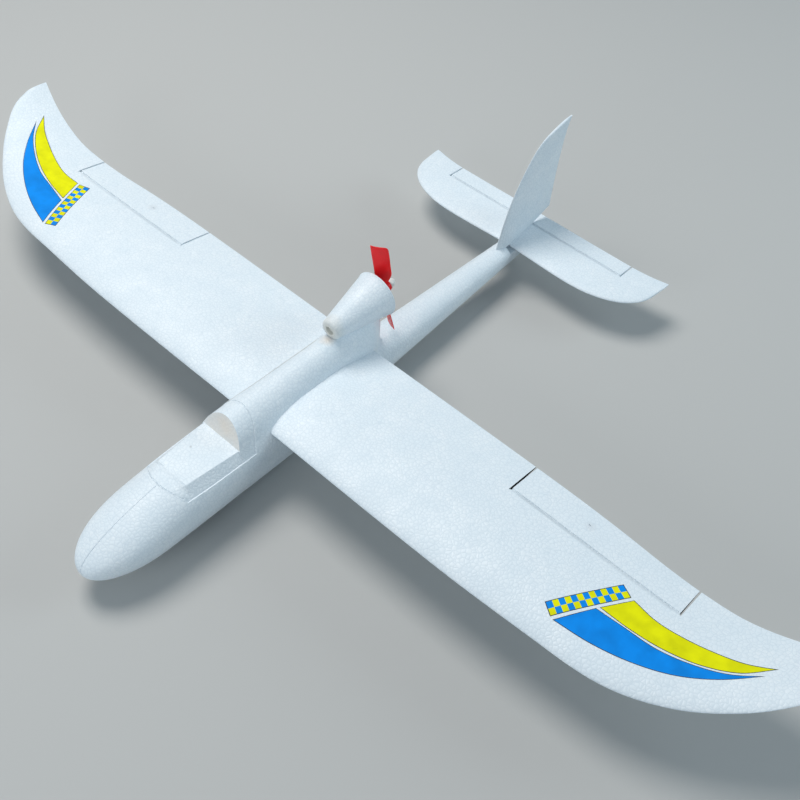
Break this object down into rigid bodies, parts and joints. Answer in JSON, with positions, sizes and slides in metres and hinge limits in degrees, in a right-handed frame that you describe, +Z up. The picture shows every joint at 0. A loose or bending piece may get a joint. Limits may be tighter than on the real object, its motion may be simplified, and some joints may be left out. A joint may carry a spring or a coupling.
{
  "type": "radio controlled motor glider",
  "caption": "White moulded foam model glider with upswept wing tips, ailerons, a pusher propeller on a pod above the wing, lift-off canopy hatch and T-shaped low tail.",
  "frame": {"origin": "middle of the flat sole of the belly skid that the glider rests on", "axes": "+Z up, nose towards -Y, left wing towards +X, seen in flight direction"},
  "size_m": [1.2, 0.7546, 0.1944],
  "materials": {
    "white_foam": "satin",
    "white_plastic": "gloss",
    "red_plastic": "gloss",
    "blue_plastic": "satin",
    "black_plastic": "satin",
    "carbon_tube": "satin",
    "steel": "satin",
    "aluminium": "satin",
    "copper_winding": "satin",
    "plywood": "matte",
    "black_webbing": "matte",
    "battery_wrap": "gloss"
  },
  "bodies": {
    "airframe": {"fuselage_left": "white_foam", "wing_left": "white_foam", "aileron_servo_left": "blue_plastic", "fuselage_right": "white_foam", "wing_right": "white_foam", "aileron_servo_right": "blue_plastic", "spar_tube": "carbon_tube", "belly_skid": "white_foam", "stabiliser": "white_foam", "fin": "white_foam", "motor_pod": "white_foam", "motor_mount": "plywood", "motor_stator": "copper_winding", "elevator_servo": "blue_plastic", "equipment_tray": "plywood", "battery": "battery_wrap", "battery_strap": "black_webbing", "speed_controller": "black_plastic", "receiver": "black_plastic", "body_magnet": "steel"},
    "hatch": {"canopy_hatch": "white_foam", "hatch_magnet": "steel"},
    "rotor": {"motor_bell": "aluminium", "prop_collet": "aluminium", "propeller": "red_plastic", "prop_nut": "white_plastic"},
    "elevator_surface": {"elevator": "white_foam", "elevator_horn": "white_plastic"},
    "elevator_arm": {"elevator_servo_arm": "white_plastic"},
    "elevator_rod": {"elevator_pushrod": "steel"},
    "aileron_surface_left": {"aileron_left": "white_foam", "aileron_horn_left": "white_plastic"},
    "aileron_arm_left": {"aileron_servo_arm_left": "white_plastic"},
    "aileron_rod_left": {"aileron_pushrod_left": "steel"},
    "aileron_surface_right": {"aileron_right": "white_foam", "aileron_horn_right": "white_plastic"},
    "aileron_arm_right": {"aileron_servo_arm_right": "white_plastic"},
    "aileron_rod_right": {"aileron_pushrod_right": "steel"}
  },
  "joints": [
    {"name": "hatch_lift", "type": "slide", "parent": "airframe", "child": "hatch", "axis": [0, 0, 1], "range_m": [0, 0.06]},
    {"name": "rotor_spin", "type": "hinge", "parent": "airframe", "child": "rotor", "pos_m": [0, 0.165, 0.1287], "axis": [0, 0.9976, 0.0698], "continuous": true},
    {"name": "elevator_hinge", "type": "hinge", "parent": "airframe", "child": "elevator_surface", "pos_m": [0, 0.456, 0.053], "axis": [1, 0, 0], "range_deg": [-22, 17]},
    {"name": "elevator_arm_shaft", "type": "hinge", "parent": "airframe", "child": "elevator_arm", "pos_m": [-0.0005, 0.077, 0.024], "axis": [1, 0, 0], "range_deg": [-19.5, 25]},
    {"name": "elevator_rod_slide", "type": "slide", "parent": "airframe", "child": "elevator_rod", "axis": [0, 0.9999, 0.0158], "range_m": [-0.0048, 0.0037]},
    {"name": "aileron_hinge_left", "type": "hinge", "parent": "airframe", "child": "aileron_surface_left", "pos_m": [0.354, 0.0915, 0.0824], "axis": [1, 0, 0], "range_deg": [-20, 20]},
    {"name": "aileron_arm_shaft_left", "type": "hinge", "parent": "airframe", "child": "aileron_arm_left", "pos_m": [0.3348, 0.042, 0.079], "axis": [1, 0, 0], "range_deg": [-27, 27]},
    {"name": "aileron_rod_slide_left", "type": "slide", "parent": "airframe", "child": "aileron_rod_left", "axis": [0, 1, 0], "range_m": [-0.0052, 0.0052]},
    {"name": "aileron_hinge_right", "type": "hinge", "parent": "airframe", "child": "aileron_surface_right", "pos_m": [-0.354, 0.0915, 0.0824], "axis": [1, 0, 0], "range_deg": [-20, 20]},
    {"name": "aileron_arm_shaft_right", "type": "hinge", "parent": "airframe", "child": "aileron_arm_right", "pos_m": [-0.3348, 0.042, 0.079], "axis": [1, 0, 0], "range_deg": [-27, 27]},
    {"name": "aileron_rod_slide_right", "type": "slide", "parent": "airframe", "child": "aileron_rod_right", "axis": [0, 1, 0], "range_m": [-0.0052, 0.0052]}
  ],
  "couplings": [
    {"joint": "elevator_arm_shaft", "follows": "elevator_hinge", "ratio": -1.0909},
    {"joint": "elevator_rod_slide", "follows": "elevator_hinge", "m_per_rad": 0.012},
    {"joint": "aileron_arm_shaft_left", "follows": "aileron_hinge_left", "ratio": 1.3091},
    {"joint": "aileron_rod_slide_left", "follows": "aileron_hinge_left", "m_per_rad": 0.0144},
    {"joint": "aileron_arm_shaft_right", "follows": "aileron_hinge_right", "ratio": 1.3091},
    {"joint": "aileron_rod_slide_right", "follows": "aileron_hinge_right", "m_per_rad": 0.0144}
  ]
}
